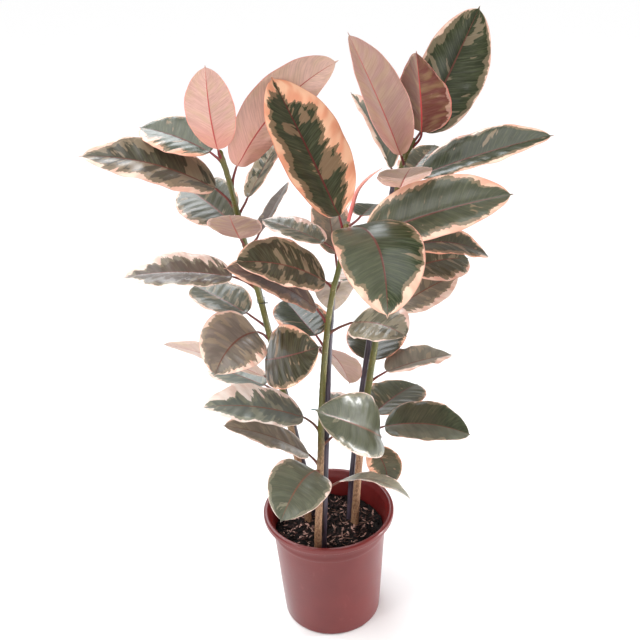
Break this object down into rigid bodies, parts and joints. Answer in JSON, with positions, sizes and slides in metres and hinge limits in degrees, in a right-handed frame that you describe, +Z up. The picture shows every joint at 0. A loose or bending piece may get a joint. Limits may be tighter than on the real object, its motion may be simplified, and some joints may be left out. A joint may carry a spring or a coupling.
{
  "type": "potted rubber plant",
  "caption": "Variegated rubber plant with upright staked stems and broad pointed leaves, growing in a round tapered plastic nursery pot.",
  "frame": {"origin": "middle of the pot's flat underside, on the surface it stands on", "axes": "+Z up along the pot's axis; -Y is the front, +X is to the right seen from the front"},
  "size_m": [0.724, 0.4429, 1.102],
  "materials": {
    "pot_plastic": "satin terracotta-red moulded plastic",
    "soil": "damp dark potting mix with bark chips",
    "stem": "green bark above, brown and woody below",
    "stake_plastic": "dark plastic-coated cane",
    "tie_wire": "coated garden wire",
    "sheath": "smooth waxy pink-red",
    "leaf": "waxy dark green with pink, peach and cream edges"
  },
  "bodies": {
    "root": {"pot": "pot_plastic", "soil": "soil", "stem_left": "stem", "stem_centre": "stem", "stem_right": "stem", "stake_left": "stake_plastic", "stake_centre": "stake_plastic", "stake_right": "stake_plastic", "tie_left": "tie_wire", "tie_centre": "tie_wire", "bud_sheath": "sheath", "leaf_left_01": "leaf", "leaf_left_02": "leaf", "leaf_left_03": "leaf", "leaf_left_04": "leaf", "leaf_left_05": "leaf", "leaf_left_06": "leaf", "leaf_left_07": "leaf", "leaf_left_08": "leaf", "leaf_left_09": "leaf", "leaf_left_10": "leaf", "leaf_left_11": "leaf", "leaf_left_12": "leaf", "leaf_left_13": "leaf", "leaf_left_14": "leaf", "leaf_centre_01": "leaf", "leaf_centre_02": "leaf", "leaf_centre_03": "leaf", "leaf_centre_04": "leaf", "leaf_centre_05": "leaf", "leaf_centre_06": "leaf", "leaf_centre_07": "leaf", "leaf_centre_08": "leaf", "leaf_centre_09": "leaf", "leaf_centre_10": "leaf", "leaf_centre_11": "leaf", "leaf_centre_12": "leaf", "leaf_centre_13": "leaf", "leaf_centre_14": "leaf", "leaf_centre_15": "leaf", "leaf_centre_16": "leaf", "leaf_centre_17": "leaf", "leaf_right_01": "leaf", "leaf_right_02": "leaf", "leaf_right_03": "leaf", "leaf_right_04": "leaf", "leaf_right_05": "leaf", "leaf_right_06": "leaf", "leaf_right_07": "leaf", "leaf_right_08": "leaf", "leaf_right_09": "leaf", "leaf_right_10": "leaf", "leaf_right_11": "leaf", "leaf_right_12": "leaf", "leaf_right_13": "leaf", "leaf_right_14": "leaf", "leaf_right_15": "leaf", "leaf_right_16": "leaf", "leaf_right_17": "leaf"}
  },
  "joints": []
}
